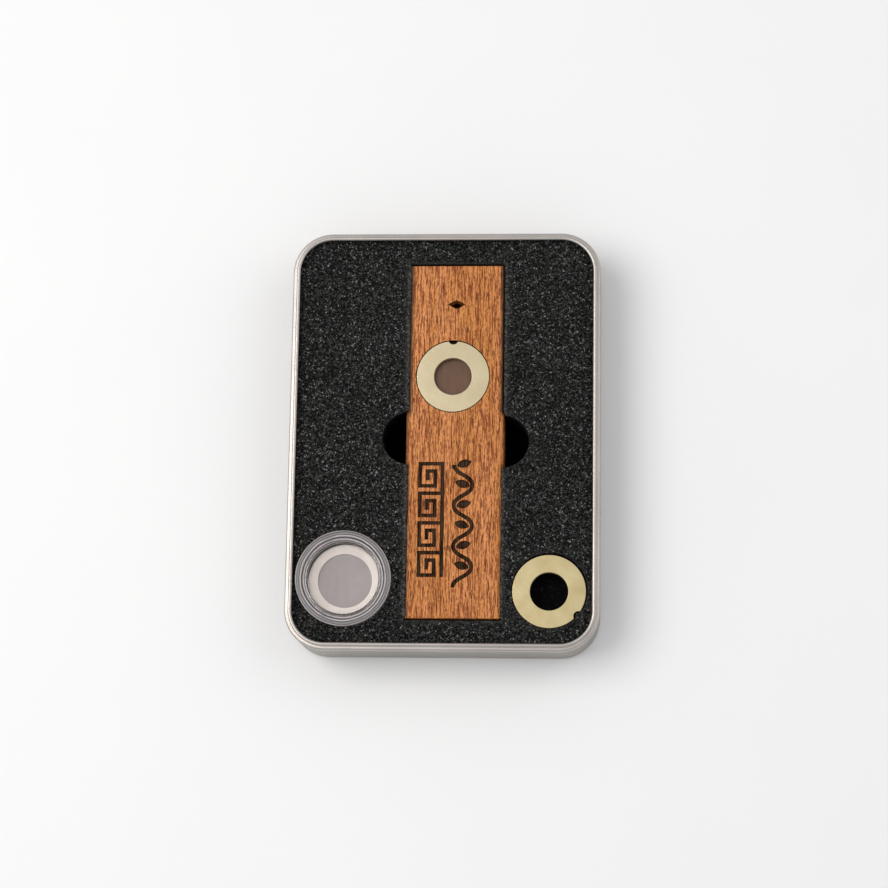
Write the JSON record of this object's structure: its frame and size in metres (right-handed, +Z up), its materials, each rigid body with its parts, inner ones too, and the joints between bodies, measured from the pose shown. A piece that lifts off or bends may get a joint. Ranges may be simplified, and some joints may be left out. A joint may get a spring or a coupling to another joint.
{
  "type": "kazoo",
  "caption": "Flat wooden kazoo with a lift-out clamp ring over its membrane, lying in a foam-lined tin tray with a spare ring and a clear capsule of spare membranes.",
  "frame": {"origin": "on the ground under the middle of the tin tray", "axes": "+Y along the tray and the kazoo towards the mouth end, +X to the right seen from above with the mouth end away, +Z up"},
  "size_m": [0.085, 0.116, 0.0184],
  "materials": {
    "tin_tray": "satin tinplate, drawn, with a rolled rim",
    "foam_pad": "charcoal cellular foam, matt",
    "foam_face": "charcoal cellular foam with fine pale speckles, matt",
    "kazoo_lower_half": "orange-brown hardwood, fine dark pores along its length, oiled satin",
    "kazoo_upper_half": "orange-brown hardwood, fine dark pores along its length, burnt ornament, oiled satin",
    "membrane_rim": "thin brown paper ring",
    "membrane_film": "thin translucent brown-grey film",
    "clamp_ring": "pale satin brass",
    "spare_ring": "pale satin brass",
    "capsule_cup": "clear polystyrene",
    "capsule_lid": "clear polystyrene",
    "spare_paper": "off-white paper",
    "spare_film": "thin grey translucent film"
  },
  "bodies": {
    "tin": {"tin_tray": "tin_tray", "foam_pad": "foam_pad", "foam_lower": "foam_pad", "foam_middle": "foam_pad", "foam_face": "foam_face"},
    "kazoo": {"kazoo_lower_half": "kazoo_lower_half", "kazoo_upper_half": "kazoo_upper_half", "membrane_rim": "membrane_rim", "membrane_film": "membrane_film"},
    "clamp_ring": {"clamp_ring": "clamp_ring"},
    "spare_ring": {"spare_ring": "spare_ring"},
    "capsule": {"capsule_cup": "capsule_cup", "spare_rim_1": "spare_paper", "spare_rim_2": "spare_paper", "spare_rim_3": "spare_paper", "spare_rim_4": "spare_paper", "spare_rim_5": "spare_paper", "spare_film_1": "spare_film", "spare_film_2": "spare_film", "spare_film_3": "spare_film", "spare_film_4": "spare_film", "spare_film_5": "spare_film"},
    "capsule_lid": {"capsule_lid": "capsule_lid"}
  },
  "joints": [
    {"name": "kazoo_lift", "type": "slide", "parent": "tin", "child": "kazoo", "axis": [0, 0, 1], "range_m": [0, 0.03]},
    {"name": "clamp_ring_lift", "type": "slide", "parent": "kazoo", "child": "clamp_ring", "axis": [0, 0, 1], "range_m": [0, 0.02]},
    {"name": "spare_ring_lift", "type": "slide", "parent": "tin", "child": "spare_ring", "axis": [0, 0, 1], "range_m": [0, 0.02]},
    {"name": "capsule_lift", "type": "slide", "parent": "tin", "child": "capsule", "axis": [0, 0, 1], "range_m": [0, 0.02]},
    {"name": "capsule_lid_lift", "type": "slide", "parent": "capsule", "child": "capsule_lid", "axis": [0, 0, 1], "range_m": [0, 0.015]}
  ]
}
